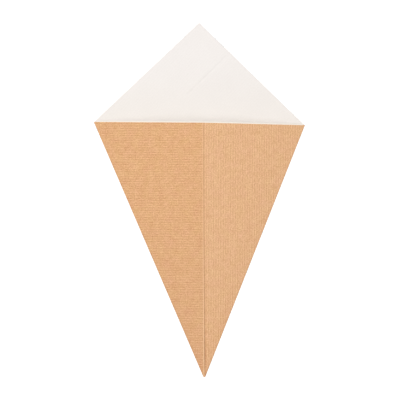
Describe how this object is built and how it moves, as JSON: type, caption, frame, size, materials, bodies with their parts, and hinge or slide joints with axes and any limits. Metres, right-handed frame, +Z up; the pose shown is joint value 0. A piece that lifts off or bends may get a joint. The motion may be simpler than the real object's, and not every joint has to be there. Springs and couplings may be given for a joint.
{
  "type": "paper fries cone",
  "caption": "Flat, pointed paper cone for fries: a ribbed kraft sheet folded at both sides and glued down a lapped middle seam, with a slightly open mouth below the back panel's white point.",
  "frame": {"origin": "middle of the cone's outline, on the table that its back panel lies on", "axes": "+Y from the tip towards the point of the back panel, +X to the right when looking at the seam, +Z up from the table, out of the seam side"},
  "size_m": [0.1752, 0.294, 0.0087],
  "materials": {
    "kraft_paper": "ribbed brown kraft outside, white greaseproof paper inside, matt"
  },
  "bodies": {
    "root": {"paper_cone": "kraft_paper"}
  },
  "joints": []
}
